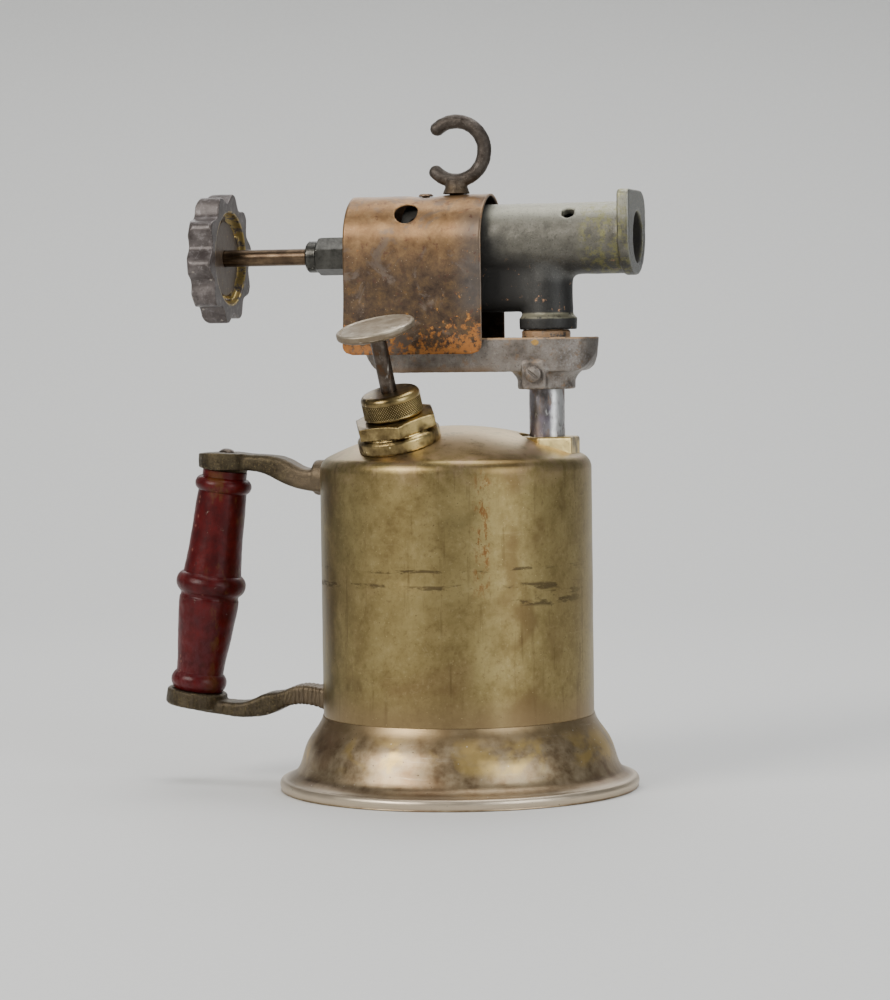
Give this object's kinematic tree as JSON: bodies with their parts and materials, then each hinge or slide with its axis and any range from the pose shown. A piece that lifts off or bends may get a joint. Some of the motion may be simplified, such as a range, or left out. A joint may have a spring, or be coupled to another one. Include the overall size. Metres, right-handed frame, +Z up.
{
  "type": "gasoline blow torch",
  "caption": "Brass gasoline blow torch with hand pump, priming cup, cast burner, needle valve handwheel, heat shield, iron hook and turned handle.",
  "frame": {"origin": "on the tank's axis, in the plane of the foot it stands on", "axes": "+Z up, +X the way the burner fires, handle and handwheel towards -X, pump on the -Y side"},
  "size_m": [0.1981, 0.1434, 0.2669],
  "materials": {
    "tank_brass": "aged, satin, brown and violet patina",
    "skirt_brass": "aged, browned, rubbed golden on its bulges",
    "fitting_brass": "tarnished, with bright edges",
    "spindle_brass": "dull, tan brown",
    "pipe_steel": "heat-blued with worn zinc",
    "rod_steel": "worn",
    "knob_metal": "dull grey tan",
    "arm_bronze": "rough sand-cast bronze, brown grey",
    "grip_wood": "turned, worn glossy dark red paint",
    "cup_iron": "dark, with a rusty rim",
    "burner_iron": "rough casting, grey olive",
    "wheel_paint": "brown black, worn",
    "shield_metal": "heat-tinted copper tan, rust along its edges",
    "hook_iron": "rough brown grey",
    "leather": "oiled",
    "wick_cotton": "twisted cotton"
  },
  "bodies": {
    "torch": {"tank_shell": "tank_brass", "tank_bottom": "tank_brass", "base_skirt": "skirt_brass", "filler_bushing": "fitting_brass", "standpipe_bushing": "fitting_brass", "standpipe": "pipe_steel", "pickup_tube": "fitting_brass", "wick": "wick_cotton", "pump_bung": "fitting_brass", "pump_collar": "fitting_brass", "pump_barrel": "fitting_brass", "check_valve_body": "fitting_brass", "check_valve_retainer": "fitting_brass", "check_valve_spring": "rod_steel", "handle_grip": "grip_wood", "upper_arm": "arm_bronze", "lower_arm": "arm_bronze", "handle_rod": "rod_steel", "priming_cup": "cup_iron", "cup_set_screw": "cup_iron", "lock_nut": "cup_iron", "burner_body": "burner_iron", "jet_nipple": "fitting_brass", "packing_nut": "fitting_brass", "packing_ring": "wick_cotton", "heat_shield": "shield_metal", "shield_screw": "shield_metal", "iron_hook": "hook_iron"},
    "pump_piston": {"pump_rod": "rod_steel", "pump_knob": "knob_metal", "cup_washer": "fitting_brass", "pump_cup": "leather", "cup_nut": "fitting_brass"},
    "cap_seal": {"cap_washer": "leather"},
    "knurled_cap": {"pump_cap": "fitting_brass"},
    "plug_seal": {"filler_gasket": "leather"},
    "plug": {"filler_plug": "fitting_brass"},
    "needle": {"needle_tip": "rod_steel"},
    "valve_wheel": {"valve_spindle": "spindle_brass", "handwheel": "wheel_paint", "wheel_nut": "rod_steel"},
    "air_valve": {"check_valve_poppet": "fitting_brass"}
  },
  "joints": [
    {"name": "pump_stroke", "type": "slide", "parent": "torch", "child": "pump_piston", "axis": [-0.1243, -0.2665, 0.9558], "range_m": [-0.0175, 0.06]},
    {"name": "cap_rise", "type": "slide", "parent": "torch", "child": "cap_seal", "axis": [-0.1243, -0.2665, 0.9558], "range_m": [0, 0.003]},
    {"name": "cap_unscrew", "type": "hinge", "parent": "cap_seal", "child": "knurled_cap", "pos_m": [-0.01424, -0.03054, 0.13904], "axis": [-0.1243, -0.2665, 0.9558], "range_deg": [0, 1085]},
    {"name": "plug_drop", "type": "slide", "parent": "torch", "child": "plug_seal", "axis": [0, 0, -1], "range_m": [0, 0.0045]},
    {"name": "plug_unscrew", "type": "hinge", "parent": "plug_seal", "child": "plug", "pos_m": [0, 0, 0.03], "axis": [0, 0, -1], "range_deg": [0, 1085]},
    {"name": "needle_travel", "type": "slide", "parent": "torch", "child": "needle", "axis": [-1, 0, 0], "range_m": [0, 0.00254]},
    {"name": "valve_turn", "type": "hinge", "parent": "needle", "child": "valve_wheel", "pos_m": [-0.098, 0, 0.2118], "axis": [-1, 0, 0], "range_deg": [0, 725]},
    {"name": "air_valve_lift", "type": "slide", "parent": "torch", "child": "air_valve", "axis": [0.1243, 0.2665, -0.9558], "range_m": [0, 0.0015], "stiffness_N_per_m": 100, "springref_m": -0.002, "deforming": ["check_valve_spring"]}
  ],
  "couplings": [
    {"joint": "cap_unscrew", "follows": "cap_rise", "rad_per_m": 6283.2},
    {"joint": "plug_unscrew", "follows": "plug_drop", "rad_per_m": 4188.8},
    {"joint": "valve_turn", "follows": "needle_travel", "rad_per_m": 4947.4}
  ]
}
